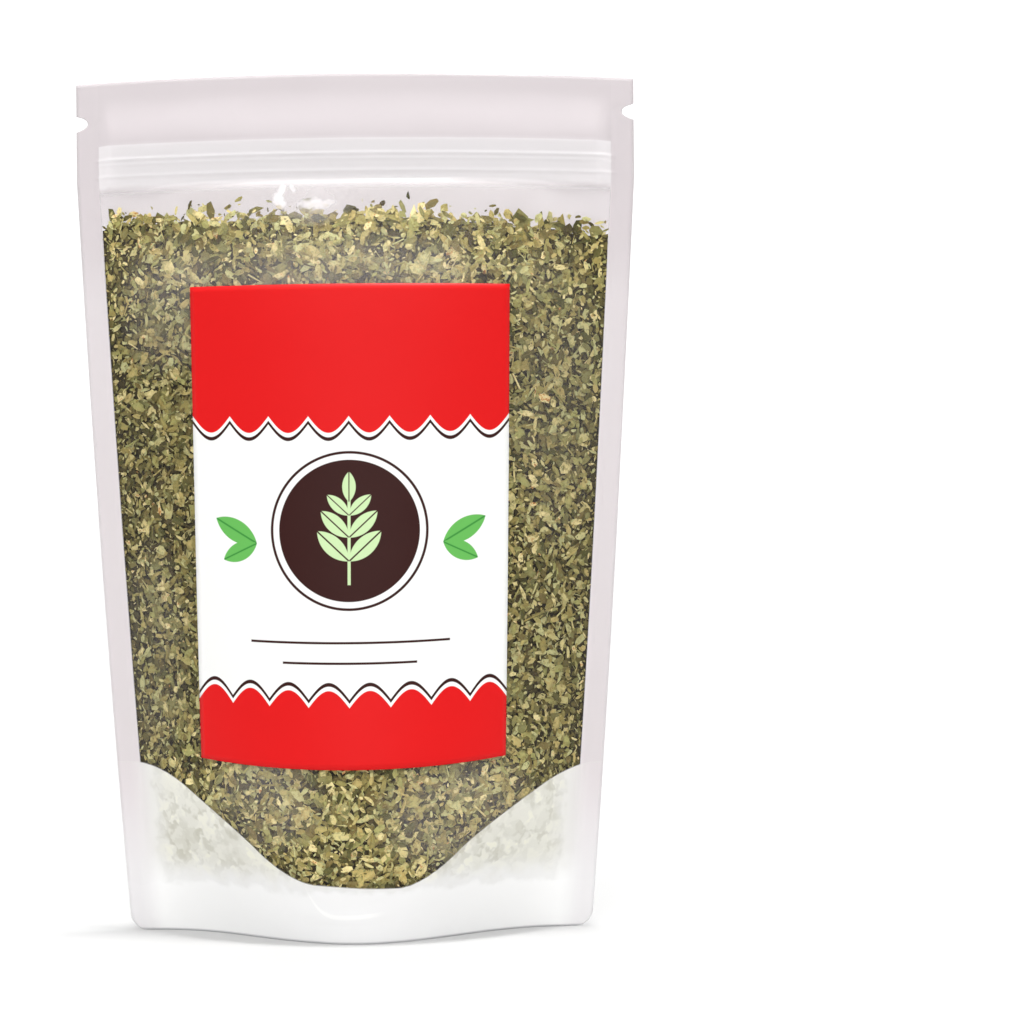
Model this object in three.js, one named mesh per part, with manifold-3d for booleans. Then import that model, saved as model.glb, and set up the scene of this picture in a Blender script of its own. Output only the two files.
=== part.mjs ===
// A stand-up pouch of dried basil leaf: two film panels, a folded base film, a press-to-close zip,
// a label on the front, and the loose crushed leaf inside.
// Millimetres, +Z up. The origin is on the table under the middle of the pouch, and the label faces -Y.

import * as THREE from "three";
import { mergeVertices } from "three/addons/utils/BufferGeometryUtils.js";
import Module from "manifold-3d";

const wasm = await Module();
wasm.setup();

// Driving dimensions of the pouch
const FLAT_WIDTH = 170; // empty pouch, edge to edge
const HEIGHT = 258; // standing height at the side seals
const SIDE_SEAL = 7; // width of the welded strip down each side
const FILM = 0.5; // wall of each film
const GAP = 0.3; // between pieces that lie against each other
const BELLY = 37.5; // how far one panel bulges from the middle plane near the foot
const PINCH_HEIGHT = 228; // where the two panels come together again, under the zip
const SHOULDER_HEIGHT = 195; // above this the panels close in fast
const SKIRT_HEIGHT = 45; // below this the panel turns from a lens section to a pinched foot
const FOOT_SHARE = 0.81; // depth of the foot as a share of the bulge above it
const FOOT_PEAK = 1.1; // how far the foot's section is drawn to its middle
const TOP_BOW = 10; // forward curve of the top edge at its middle
const TOP_TWIST = 1.5; // the left top corner leans back by this much, and the right one forward
const BOW_START = 0.5 * HEIGHT; // height where the bow and twist set in
const TOP_CROWN = 1; // rise of the top edge at its middle
const CROWN_START = 0.75 * HEIGHT;
const CORNER_RADIUS = 5; // rounding of the two bottom corners
const NOTCH_DEPTH = 3.6; // tear notches in both side edges
const NOTCH_HEIGHT = 4.7;
const NOTCH_BELOW_TOP = { left: 12, right: 10 };

// The base film's welded rim: low in the middle of the panel and high at the side seals
const RIM_MIDDLE = 16.3;
const RIM_RISE = 34;
const RIM_FLAT = { left: 16, right: 18.5 }; // half-width of the low stretch
const RIM_REACH = { left: 42.5, right: 49 }; // distance over which the rim climbs
const RIM_BEND = { left: 1, right: 0.8 }; // 1 climbs straight, less climbs early
const BASE_FLAT = 20; // half-length of the stretch that lies flat on the table
const BASE_END = 62; // half-length of the whole base film
const KEEL_END_DROP = 2; // from the rim down to the keel at the very ends
const KEEL_BEND = 8; // the keel stays low and climbs only near its ends
const BASE_SETTLE = 0.8; // how far the weight inside flattens the base
const BASE_ROUND = 3; // power of the rounded section from wall to floor
const BASE_CLEAR = 0.6; // from a panel to the base film along the weld

// Press-to-close zip
const ZIP_TOP = HEIGHT - 19.5;
const ZIP_BOTTOM = HEIGHT - 30.5;
const ZIP_ROOM = 1.9; // space between the middle plane and each panel at the zip
const ZIP_LEAD = 5; // height over which the panels close in above and below the zip
const ZIP_FLANGE = 0.4;
const ZIP_END_CLEAR = 4.5; // from the side seal to the zip's end
const TONGUE = 0.7; // thickness of the tongue
const TONGUE_TIP = -0.7; // how far it reaches past the middle plane, towards the front
const JAW = 0.8; // thickness of each jaw and of the guide rib
const JAW_TIP = 0.4; // how far the jaws reach past the middle plane, towards the back
const RIB_TIP = 0.2;

// Label
const LABEL_WIDTH = 97;
const LABEL_MIDDLE = -1.2; // it sits a little left of the middle
const LABEL_BOTTOM = 51.5;
const LABEL_TOP = 195;
const LABEL_SAG = 2.6; // its lower edge hangs lower in the middle than at the corners
const LABEL_THICKNESS = 0.4;

// Dried leaf
const FILL_TOP = 216;
const CREST_DROP = { left: 1, right: 4.5 }; // from the middle of the crest to its ends
const CREST_WAVE = 1.2; // height of its unevenness
const FILL_FLOOR = 3.4; // from the table to the underside of the heap
const FILL_INSET = 2.3; // from a panel to the solid heart of the heap
const FILL_LEAST = 3.1; // panel depth at which the heart of the heap ends
const FLAKE_LENGTH = [13, 18];
const FLAKE_SLIMNESS = [0.55, 0.85];
const FLAKE_THICKNESS = 0.8;
const FLAKE_TILT = 0.1; // radians that a flake leans out of the heap
const FLAKE_PITCH = [15, 15]; // spacing of the flakes across and up a side
const RIM_CLEAR = 9; // the flakes of a side start this far above the base film's rim
const CREST_FLAKES = 22;
const CREST_FLAKE_SCALE = 0.7;

const PANEL_COLUMNS = 16;
const HALF_GAP = GAP / 2;

const UP = new THREE.Vector3(0, 0, 1);
const lerp = THREE.MathUtils.lerp;
const smoothstep = (low, high, value) => THREE.MathUtils.smoothstep(value, low, high);

// The seeded draw that places the flakes.
function seededRandom(seed) {
  let state = seed;
  return () => {
    state = (state + 0x6d2b79f5) | 0;
    let mixed = Math.imul(state ^ (state >>> 15), 1 | state);
    mixed = (mixed + Math.imul(mixed ^ (mixed >>> 7), 61 | mixed)) ^ mixed;
    return ((mixed ^ (mixed >>> 14)) >>> 0) / 4294967296;
  };
}

// The form of the pouch

// Bulge of one panel at its middle, at a height.
const bulge = (z) => BELLY * Math.sqrt(Math.max(0, 1 - z / PINCH_HEIGHT));

// Half the distance between the side seals. The film has one width all the way up,
// so a deeper arc draws the seals together.
function halfChord(z) {
  const filmWidth = FLAT_WIDTH - 2 * SIDE_SEAL;
  return (filmWidth + Math.sqrt(filmWidth ** 2 - (32 / 3) * bulge(z) ** 2)) / 4;
}

const halfWidth = (z) => halfChord(z) + SIDE_SEAL;

// Depth of a panel in front of the middle plane.
function depth(x, z) {
  const across = Math.min(1, Math.abs(x) / halfChord(z));
  const lens = 1 - across ** 2;
  const foot = (0.5 + 0.5 * Math.cos(Math.PI * across)) ** FOOT_PEAK;
  const section = lerp(foot, lens, smoothstep(0, SKIRT_HEIGHT, z));
  const tuck = lerp(FOOT_SHARE, 1, smoothstep(0, SKIRT_HEIGHT, z));
  const overZip = smoothstep(ZIP_TOP, ZIP_TOP + ZIP_LEAD, z);
  const zipRamp = smoothstep(ZIP_BOTTOM - ZIP_LEAD, ZIP_BOTTOM, z) - overZip;
  const zipEnd = smoothstep(0, ZIP_END_CLEAR - 1, halfChord(z) - Math.abs(x));
  return Math.max(bulge(z) * tuck * section, ZIP_ROOM * zipRamp * zipEnd);
}

// The middle plane bows forward and twists a little towards the top edge.
function middle(x, z) {
  const across = x / halfWidth(z);
  const ramp = smoothstep(BOW_START, HEIGHT, z);
  return -ramp * (TOP_BOW * (1 - across ** 2) + TOP_TWIST * across);
}

const crown = (x, z) => TOP_CROWN * (1 - (x / halfWidth(z)) ** 2) * smoothstep(CROWN_START, HEIGHT, z);

// A point of a panel: side -1 is the front, +1 the back, and offset is outwards from its inner face.
function panelPoint(x, z, side, offset) {
  return new THREE.Vector3(x, middle(x, z) + side * (HALF_GAP + depth(x, z) + offset), z + crown(x, z));
}

// Height of the rim where the base film is welded to a panel.
function rimHeight(x) {
  const hand = x < 0 ? "left" : "right";
  const climb = THREE.MathUtils.clamp((Math.abs(x) - RIM_FLAT[hand]) / RIM_REACH[hand], 0, 1);
  return RIM_MIDDLE + RIM_RISE * climb ** RIM_BEND[hand];
}

// Height of the base film's keel: flat on the table in the middle, and up to the rim at the ends.
function keelHeight(x) {
  const climb = THREE.MathUtils.clamp((Math.abs(x) - BASE_FLAT) / (BASE_END - BASE_FLAT), 0, 1);
  const end = rimHeight(Math.sign(x) * BASE_END) - KEEL_END_DROP;
  return end * climb ** KEEL_BEND;
}

// Half the room inside the pouch at a point of the middle plane, base film included.
function roomInside(x, z) {
  const rim = rimHeight(x);
  const keel = keelHeight(x);
  if (z >= rim) return depth(x, z);
  if (z <= keel) return 0;
  const below = (rim - z) / (rim - keel);
  return (depth(x, z) - BASE_CLEAR - FILM) * (1 - below ** BASE_ROUND) ** (1 / BASE_ROUND);
}

// Solids from three.js geometry

function toSolid(geometry) {
  const bare = geometry.clone();
  bare.deleteAttribute("normal");
  bare.deleteAttribute("uv");
  const merged = mergeVertices(bare, 1e-4);
  return new wasm.Manifold(
    new wasm.Mesh({
      numProp: 3,
      vertProperties: new Float32Array(merged.attributes.position.array),
      triVerts: new Uint32Array(merged.index.array),
    }),
  );
}

function toGeometry(solid) {
  const mesh = solid.getMesh();
  const geometry = new THREE.BufferGeometry();
  geometry.setAttribute("position", new THREE.BufferAttribute(mesh.vertProperties, 3));
  geometry.setIndex(new THREE.BufferAttribute(mesh.triVerts, 1));
  geometry.computeVertexNormals();
  return geometry;
}

// A block with cells across, through and up, each corner of which goes where the rule puts it.
// The rule gets whole numbers: the column, the layer and the row.
function shapedBlock(columns, layers, rows, rule) {
  const block = new THREE.BoxGeometry(columns, layers, rows, columns, layers, rows);
  block.translate(columns / 2, layers / 2, rows / 2);
  const position = block.attributes.position;
  for (let i = 0; i < position.count; i++) {
    const [column, layer, row] = [position.getX(i), position.getY(i), position.getZ(i)].map(Math.round);
    const point = rule(column, layer, row);
    position.setXYZ(i, point.x, point.y, point.z);
  }
  return block;
}

// A flat outline in X and Z, drawn through the whole depth of the pouch.
function outlineCutter(shape) {
  const reach = 4 * BELLY;
  const cutter = new THREE.ExtrudeGeometry(shape, { depth: reach, bevelEnabled: false, curveSegments: 6 });
  cutter.rotateX(Math.PI / 2);
  cutter.translate(0, reach / 2, 0);
  return toSolid(cutter);
}

const evenSteps = (from, to, steps) => Array.from({ length: steps }, (_, i) => lerp(from, to, i / steps));

// The heights of the film's rows: close together where the film turns.
const panelRows = [
  ...evenSteps(0, SKIRT_HEIGHT, 5),
  ...evenSteps(SKIRT_HEIGHT, SHOULDER_HEIGHT, 8),
  ...evenSteps(SHOULDER_HEIGHT, ZIP_BOTTOM - ZIP_LEAD, 5),
  ZIP_BOTTOM - ZIP_LEAD,
  ZIP_BOTTOM,
  ZIP_TOP,
  ZIP_TOP + ZIP_LEAD,
  HEIGHT,
];

// Share of the half chord at a column: closer together towards the seals.
function columnShare(column, columns) {
  const even = (2 * column) / columns - 1;
  return lerp(even, Math.sin((even * Math.PI) / 2), 0.5);
}

// Where a panel's column lies: the outermost columns are the pouch's edges, and the next ones the seals.
function panelColumn(column, z) {
  if (column === 0) return -halfWidth(z);
  if (column === PANEL_COLUMNS + 2) return halfWidth(z);
  return halfChord(z) * columnShare(column - 1, PANEL_COLUMNS);
}

// A sheet that follows a panel, from one offset to another outwards of its inner face.
function panelSheet(side, innerOffset, outerOffset) {
  const outerLayer = side < 0 ? 0 : 1;
  return toSolid(
    shapedBlock(PANEL_COLUMNS + 2, 1, panelRows.length - 1, (column, layer, row) => {
      const z = panelRows[row];
      return panelPoint(panelColumn(column, z), z, side, layer === outerLayer ? outerOffset : innerOffset);
    }),
  );
}

// Film

// The tear notch is a round-nosed cut in a side edge. Hand is -1 for the left edge, +1 for the right.
function notchCutter(hand) {
  const z = HEIGHT - (hand < 0 ? NOTCH_BELOW_TOP.left : NOTCH_BELOW_TOP.right);
  const edge = hand * halfWidth(z);
  const nose = NOTCH_HEIGHT / 3;
  const shape = new THREE.Shape();
  shape.moveTo(edge + hand * 2, z - NOTCH_HEIGHT / 2);
  shape.lineTo(edge, z - NOTCH_HEIGHT / 2);
  shape.quadraticCurveTo(edge - hand * NOTCH_DEPTH, z - nose, edge - hand * NOTCH_DEPTH, z);
  shape.quadraticCurveTo(edge - hand * NOTCH_DEPTH, z + nose, edge, z + NOTCH_HEIGHT / 2);
  shape.lineTo(edge + hand * 2, z + NOTCH_HEIGHT / 2);
  return outlineCutter(shape);
}

// What is left over outside the round of a bottom corner.
function cornerCutter(hand) {
  const edge = hand * (halfWidth(0) + 1);
  const inner = edge - hand * (CORNER_RADIUS + 1);
  const shape = new THREE.Shape();
  shape.moveTo(edge, -1);
  shape.lineTo(edge, CORNER_RADIUS);
  shape.lineTo(edge - hand, CORNER_RADIUS);
  shape.absarc(inner, CORNER_RADIUS, CORNER_RADIUS, hand > 0 ? 0 : Math.PI, 1.5 * Math.PI, hand > 0);
  shape.lineTo(inner, -1);
  return outlineCutter(shape);
}

function panelFilm(side) {
  let film = panelSheet(side, 0, FILM);
  for (const hand of [-1, 1]) film = film.subtract(notchCutter(hand)).subtract(cornerCutter(hand));
  return toGeometry(film);
}

// The base film: a keeled tub, welded by its rim to both panels and lying on the table in the middle.
function baseFilm() {
  const columns = 18;
  const steps = 14;
  const tub = shapedBlock(columns, steps, 1, (column, step, layer) => {
    const outerX = BASE_END * columnShare(column, columns);
    const turn = (Math.PI * step) / steps;
    const wall = layer * FILM;
    const x = outerX * (1 - wall / BASE_END);
    const drop = Math.sin(turn) ** (2 / BASE_ROUND);
    const settled = Math.max(0, lerp(rimHeight(outerX), keelHeight(outerX), drop) - BASE_SETTLE * drop);
    const z = settled + wall * drop;
    const reach = depth(x, z) - BASE_CLEAR - wall;
    const share = Math.sign(Math.cos(turn)) * Math.abs(Math.cos(turn)) ** (2 / BASE_ROUND);
    return new THREE.Vector3(x, -share * reach, z);
  });
  return toGeometry(toSolid(tub));
}

// Zip strips

// A strip of one section all along the zip, bent to the pouch's bow. The section is in Y and Z.
function zipStrip(outline) {
  const half = halfChord(ZIP_BOTTOM) - ZIP_END_CLEAR;
  const section = new THREE.Shape(outline.map(([y, z]) => new THREE.Vector2(y, z)));
  const strip = new THREE.ExtrudeGeometry(section, { depth: 2 * half, steps: 12, bevelEnabled: false });
  strip.applyMatrix4(
    new THREE.Matrix4().makeBasis(
      new THREE.Vector3(0, 1, 0),
      new THREE.Vector3(0, 0, 1),
      new THREE.Vector3(1, 0, 0),
    ),
  );
  strip.translate(-half, 0, 0);
  const position = strip.attributes.position;
  for (let i = 0; i < position.count; i++) {
    const x = position.getX(i);
    const z = position.getZ(i);
    position.setY(i, position.getY(i) + middle(x, z));
    position.setZ(i, z + crown(x, z));
  }
  return toGeometry(toSolid(strip));
}

const zipFace = ZIP_ROOM - GAP; // the side of a strip that is welded to its panel
const zipSeat = zipFace - ZIP_FLANGE; // the side that faces the other strip
const zipHeart = lerp(ZIP_BOTTOM, ZIP_TOP, 0.6); // height of the tongue

// The front strip: a flange with two jaws.
function grooveStrip() {
  const mouth = TONGUE / 2 + GAP;
  return zipStrip([
    [-zipFace, ZIP_BOTTOM],
    [-zipSeat, ZIP_BOTTOM],
    [-zipSeat, zipHeart - mouth - JAW],
    [JAW_TIP, zipHeart - mouth - JAW],
    [JAW_TIP, zipHeart - mouth],
    [-zipSeat, zipHeart - mouth],
    [-zipSeat, zipHeart + mouth],
    [JAW_TIP, zipHeart + mouth],
    [JAW_TIP, zipHeart + mouth + JAW],
    [-zipSeat, zipHeart + mouth + JAW],
    [-zipSeat, ZIP_TOP],
    [-zipFace, ZIP_TOP],
  ]);
}

// The back strip: a flange with the tongue, and a guide rib under it.
function tongueStrip() {
  const rib = lerp(ZIP_BOTTOM, ZIP_TOP, 0.14);
  return zipStrip([
    [zipSeat, ZIP_BOTTOM],
    [zipFace, ZIP_BOTTOM],
    [zipFace, ZIP_TOP],
    [zipSeat, ZIP_TOP],
    [zipSeat, zipHeart + TONGUE / 2],
    [TONGUE_TIP, zipHeart + TONGUE / 2],
    [TONGUE_TIP, zipHeart - TONGUE / 2],
    [zipSeat, zipHeart - TONGUE / 2],
    [zipSeat, rib + JAW / 2],
    [RIB_TIP, rib + JAW / 2],
    [RIB_TIP, rib - JAW / 2],
    [zipSeat, rib - JAW / 2],
  ]);
}

// Label

// Where an edge of the label lies at a height, once the label is laid round the bulge.
function labelEdge(z, hand) {
  const steps = 40;
  const stride = LABEL_WIDTH / steps / 2;
  let x = LABEL_MIDDLE;
  for (let i = 0; i < steps; i++) {
    const slope = (depth(x + hand * stride, z) - depth(x, z)) / stride;
    x += (hand * stride) / Math.hypot(1, slope);
  }
  return x;
}

function labelSheet() {
  const corner = LABEL_BOTTOM + LABEL_SAG;
  const heights = [...evenSteps(corner, LABEL_TOP, 6), LABEL_TOP];
  const shape = new THREE.Shape(heights.map((z) => new THREE.Vector2(labelEdge(z, 1), z)));
  for (const z of [...heights].reverse()) shape.lineTo(labelEdge(z, -1), z);
  shape.quadraticCurveTo(LABEL_MIDDLE, LABEL_BOTTOM - LABEL_SAG, labelEdge(corner, 1), corner);
  const sheet = panelSheet(-1, FILM + GAP, FILM + GAP + LABEL_THICKNESS);
  return toGeometry(sheet.intersect(outlineCutter(shape)));
}

// Dried leaf

// Half-width of the heap's heart at a height: out to where the panels leave too little room.
function fillHalfWidth(z) {
  let low = 0;
  let high = halfChord(z);
  for (let i = 0; i < 24; i++) {
    const tried = (low + high) / 2;
    if (depth(tried, z) > FILL_LEAST) low = tried;
    else high = tried;
  }
  return low;
}

const fillBottom = (x) => keelHeight(x) + FILL_FLOOR;
const fillDepth = (x, z) => Math.max(0.7, roomInside(x, z) - FILL_INSET);

// Height of the heap's uneven crest.
function fillCrest(x) {
  const wave = Math.sin(0.21 * x) * Math.cos(0.13 * x);
  const drop = x < 0 ? CREST_DROP.left : CREST_DROP.right;
  return FILL_TOP - drop * (x / halfChord(FILL_TOP)) ** 2 + CREST_WAVE * wave;
}

// The heart of the heap, which the flakes are rooted in.
function fillHeart() {
  const columns = 16;
  const rows = 18;
  return toSolid(
    shapedBlock(columns, 2, rows, (column, layer, row) => {
      const share = (row / rows) ** 1.2;
      const x = fillHalfWidth(lerp(FILL_FLOOR, FILL_TOP, share)) * columnShare(column, columns);
      const z = lerp(fillBottom(x), fillCrest(x), share);
      return new THREE.Vector3(x, middle(x, z) + (layer - 1) * fillDepth(x, z), z);
    }),
  );
}

// A torn piece of leaf: a thin plate with a ragged outline, flat in X and Y.
function leafFlake(random) {
  const length = lerp(...FLAKE_LENGTH, random());
  const width = length * lerp(...FLAKE_SLIMNESS, random());
  const corners = 5;
  const outline = Array.from({ length: corners }, (_, i) => {
    const turn = (2 * Math.PI * (i + 0.35 * (random() - 0.5))) / corners;
    const ragged = lerp(0.78, 1.1, random());
    return new THREE.Vector2((ragged * Math.cos(turn) * length) / 2, (ragged * Math.sin(turn) * width) / 2);
  });
  const plate = { depth: FLAKE_THICKNESS, bevelEnabled: false };
  const flake = new THREE.ExtrudeGeometry(new THREE.Shape(outline), plate);
  return flake.translate(0, 0, -FLAKE_THICKNESS / 2);
}

// A point of the heap's side and the direction that faces out of it there.
function fillSurface(x, z, side) {
  const at = (px, pz) => new THREE.Vector3(px, middle(px, pz) + side * fillDepth(px, pz), pz);
  const step = 2;
  const alongX = at(x + step, z).sub(at(x - step, z));
  const alongZ = at(x, z + step).sub(at(x, z - step));
  const outwards = alongX.cross(alongZ).normalize();
  if (outwards.y * side < 0) outwards.negate();
  return { point: at(x, z), outwards };
}

// Flakes lie against each side of the heap in rows, each leaning a little out of it.
function sideFlakes(side, random) {
  const flakes = [];
  const [across, up] = FLAKE_PITCH;
  for (let z = keelHeight(0) + up; z < FILL_TOP - up / 3; z += up) {
    const half = fillHalfWidth(z) - across / 2.5;
    const count = Math.round((2 * half) / across);
    for (let i = 0; i < count; i++) {
      const x = lerp(-half, half, (i + 0.5 + 0.5 * (random() - 0.5)) / count);
      const height = z + 0.5 * up * (random() - 0.5);
      if (height < rimHeight(x) + RIM_CLEAR) continue;
      const { point, outwards } = fillSurface(x, height, side);
      const lean = new THREE.Vector3(random() - 0.5, 0, random() - 0.5).normalize();
      const facing = outwards.clone().addScaledVector(lean, FLAKE_TILT).normalize();
      const turn = new THREE.Quaternion().setFromUnitVectors(UP, facing);
      const spin = new THREE.Quaternion().setFromAxisAngle(UP, 2 * Math.PI * random());
      const place = new THREE.Matrix4().compose(point, turn.multiply(spin), new THREE.Vector3(1, 1, 1));
      flakes.push(leafFlake(random).applyMatrix4(place));
    }
  }
  return flakes;
}

// Flakes stand up out of the crest of the heap, sunk in by about half.
function crestFlakes(random) {
  const half = fillHalfWidth(FILL_TOP) - FLAKE_LENGTH[0] / 2;
  return Array.from({ length: CREST_FLAKES }, (_, i) => {
    const x = lerp(-half, half, (i + random()) / CREST_FLAKES);
    const z = fillCrest(x) - 3.5 * random() - 1;
    const upright = new THREE.Quaternion().setFromEuler(
      new THREE.Euler(Math.PI / 2 + 0.2 * (random() - 0.5), 0, Math.PI * random(), "XYZ"),
    );
    const place = new THREE.Matrix4().compose(
      new THREE.Vector3(x, middle(x, z), z),
      upright,
      new THREE.Vector3(CREST_FLAKE_SCALE, CREST_FLAKE_SCALE, 1),
    );
    return leafFlake(random).applyMatrix4(place);
  });
}

// The heap with its flakes fused in. Any hollow that the flakes close off is filled.
function driedLeaf() {
  const random = seededRandom(20);
  const flakes = [...sideFlakes(-1, random), ...sideFlakes(1, random), ...crestFlakes(random)];
  const heap = flakes.reduce((joined, flake) => joined.add(toSolid(flake)), fillHeart());
  const bodies = heap.decompose().sort((a, b) => b.volume() - a.volume());
  return toGeometry(bodies[0]);
}

// The pouch

const clearFilm = { color: 0xe5dee0, roughness: 0.25, metalness: 0, transparent: true, opacity: 0.35 };
const zipFilm = { color: 0xf2eeef, roughness: 0.3, metalness: 0, transparent: true, opacity: 0.6 };
const labelPaper = { color: 0xfefefc, roughness: 0.45, metalness: 0 };
const dryLeaf = { color: 0x716641, roughness: 0.9, metalness: 0 };

const pouch = new THREE.Group();

function addPiece(name, geometry, finish) {
  const piece = new THREE.Mesh(geometry, new THREE.MeshStandardMaterial(finish));
  piece.name = name;
  pouch.add(piece);
}

addPiece("front_film", panelFilm(-1), clearFilm);
addPiece("back_film", panelFilm(1), clearFilm);
addPiece("base_film", baseFilm(), clearFilm);
addPiece("zip_groove_strip", grooveStrip(), zipFilm);
addPiece("zip_tongue_strip", tongueStrip(), zipFilm);
addPiece("label", labelSheet(), labelPaper);
addPiece("dried_basil", driedLeaf(), dryLeaf);

export default pouch;
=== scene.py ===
# %% [markdown]
# # A stand-up pouch of dried basil leaf
#
# The object is a clear stand-up pouch with a press-to-close zip, a folded base and a paper label, filled
# with crushed dried leaf. Its CAD solids are loaded first and give the size and place of everything. The
# lesson then dresses them: thin film with milky welds, a printed label, and thousands of small flakes
# that press against the film.

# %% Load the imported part
import math
import random
from types import SimpleNamespace

import bmesh
import bpy
import numpy as np
from mathutils import Matrix, Vector, noise


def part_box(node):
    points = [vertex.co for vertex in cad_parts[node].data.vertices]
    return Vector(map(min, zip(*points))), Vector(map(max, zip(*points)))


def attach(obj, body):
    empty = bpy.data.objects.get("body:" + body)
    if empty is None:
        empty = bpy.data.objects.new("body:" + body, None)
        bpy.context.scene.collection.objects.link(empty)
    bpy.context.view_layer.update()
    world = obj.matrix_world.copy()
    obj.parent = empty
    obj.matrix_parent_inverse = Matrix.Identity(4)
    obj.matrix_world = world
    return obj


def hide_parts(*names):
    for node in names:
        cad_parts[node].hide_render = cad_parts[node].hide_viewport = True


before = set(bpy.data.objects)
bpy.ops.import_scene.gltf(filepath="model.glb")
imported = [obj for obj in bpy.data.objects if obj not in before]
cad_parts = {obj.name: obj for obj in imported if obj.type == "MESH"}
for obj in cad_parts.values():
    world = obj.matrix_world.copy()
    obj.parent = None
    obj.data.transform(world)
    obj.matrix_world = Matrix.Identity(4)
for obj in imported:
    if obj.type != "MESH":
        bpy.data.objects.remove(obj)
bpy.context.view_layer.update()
MM = 0.001

# %% [markdown]
# ## The form of the pouch
#
# A filled pouch is two flat films that share their side welds. The fill pushes them apart near the foot,
# and they come together under the zip. Film doesn't stretch, so where it bulges the side welds are drawn
# in. A cloth simulation could find this shape, but a few formulas give it at any point, and the label and
# the leaf need them too. They are those of the CAD part, in metres, a little softer above the zip and
# along the rim of the base.

# %% Sizes of the pouch
film_low, film_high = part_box("front_film")
TOP_CROWN = 1.0 * MM
FLAT_WIDTH = film_high.x - film_low.x
HEIGHT = film_high.z - film_low.z - TOP_CROWN
SIDE_SEAL = 7.0 * MM
FILM = 0.5 * MM
HALF_GAP = 0.15 * MM
BELLY = 37.5 * MM
PINCH_HEIGHT = 228.0 * MM
SKIRT_HEIGHT = 45.0 * MM
FOOT_SHARE = 0.81
FOOT_PEAK = 1.1
TOP_BOW = 10.0 * MM
TOP_TWIST = 1.5 * MM
BOW_START = 0.5 * HEIGHT
CROWN_START = 0.75 * HEIGHT
ZIP_TOP = HEIGHT - 19.5 * MM
ZIP_BOTTOM = HEIGHT - 30.5 * MM
ZIP_ROOM = 1.9 * MM
ZIP_LEAD = 5.0 * MM
ZIP_RELEASE = 15.0 * MM  # above the zip the films come together slowly
ZIP_END_CLEAR = 4.5 * MM
print(f"pouch {FLAT_WIDTH / MM:.1f} mm wide when flat, {HEIGHT / MM:.1f} mm high")


# %% Where the film is
def smooth(low, high, value):
    """Climbs from 0 to 1 between two values, level at both ends."""
    share = min(1.0, max(0.0, (value - low) / (high - low)))
    return share * share * (3 - 2 * share)


def lerp(start, end, share):
    return start + (end - start) * share


def bulge(z):
    return BELLY * math.sqrt(max(0.0, 1 - z / PINCH_HEIGHT))


def half_chord(z):
    """Half the distance between the side welds."""
    film_width = FLAT_WIDTH - 2 * SIDE_SEAL
    return (film_width + math.sqrt(film_width**2 - (32 / 3) * bulge(z) ** 2)) / 4


def half_width(z):
    return half_chord(z) + SIDE_SEAL


def depth(x, z):
    """How far a panel stands in front of the pouch's middle plane."""
    chord = half_chord(z)
    across = min(1.0, abs(x) / chord)
    lens = 1 - across**2
    foot = (0.5 + 0.5 * math.cos(math.pi * across)) ** FOOT_PEAK
    up_skirt = smooth(0, SKIRT_HEIGHT, z)
    zip_ramp = smooth(ZIP_BOTTOM - ZIP_LEAD, ZIP_BOTTOM, z) - smooth(ZIP_TOP, ZIP_TOP + ZIP_RELEASE, z)
    zip_end = smooth(0, ZIP_END_CLEAR - 1 * MM, chord - abs(x))
    bulged = bulge(z) * lerp(FOOT_SHARE, 1, up_skirt) * lerp(foot, lens, up_skirt)
    return max(bulged, ZIP_ROOM * zip_ramp * zip_end)


def middle(x, z):
    """The middle plane, which bows forward and twists towards the top edge."""
    across = x / half_width(z)
    return -smooth(BOW_START, HEIGHT, z) * (TOP_BOW * (1 - across**2) + TOP_TWIST * across)


def crown(x, z):
    return TOP_CROWN * (1 - (x / half_width(z)) ** 2) * smooth(CROWN_START, HEIGHT, z)


def film_point(x, z, side, offset):
    """A point of a panel: side -1 is the front, +1 the back, the offset outwards from its inner face."""
    return Vector((x, middle(x, z) + side * (HALF_GAP + depth(x, z) + offset), z + crown(x, z)))


print(f"deepest at z = 40 mm: {2 * depth(0, 40 * MM) / MM:.1f} mm through the pouch")

# %% [markdown]
# The base film is welded to both panels along a rim that is low in the middle and high at the sides. Its
# keel lies on the table in the middle and climbs to the rim at the ends. The heap of leaf fills the room
# above it, up to an uneven crest.

# %% Base rim, keel and crest
RIM_MIDDLE = 16.2 * MM
RIM_RISE = 33.8 * MM
RIM_TILT = 1.3 * MM  # the left end of the low stretch is higher by this much
TILT_FROM, TILT_TO = 10.0 * MM, -16.0 * MM
RIM_FLAT = {-1: 20.7 * MM, 1: 21.3 * MM}
RIM_REACH = {-1: 39.3 * MM, 1: 43.3 * MM}
RIM_BEND = {-1: 0.83, 1: 0.74}
RIM_ROUND = 7.8 * MM
BASE_FLAT = 20.0 * MM
BASE_END = 62.0 * MM
KEEL_END_DROP = 2.0 * MM
KEEL_BEND = 8.0
BASE_CLEAR = 0.6 * MM
BASE_SETTLE = 0.8 * MM
BASE_ROUND = 3.0
FILL_TOP = 216.0 * MM
CREST_DROP = {-1: 1.0 * MM, 1: 4.5 * MM}
CREST_WAVE = 1.2 * MM


def share_between(low, reach, value):
    return min(1.0, max(0.0, (value - low) / reach))


def sharp_rim(x):
    hand = -1 if x < 0 else 1
    climb = share_between(RIM_FLAT[hand], RIM_REACH[hand], abs(x))
    low = RIM_MIDDLE + RIM_TILT * smooth(TILT_FROM, TILT_TO, x)
    return low + RIM_RISE * climb ** RIM_BEND[hand]


def rim_height(x):
    """The rim with its corners rounded, by averaging it over a short stretch."""
    nearby = [sharp_rim(x + RIM_ROUND * step / 3) for step in range(-3, 4)]
    return sum(nearby) / len(nearby)


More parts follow.
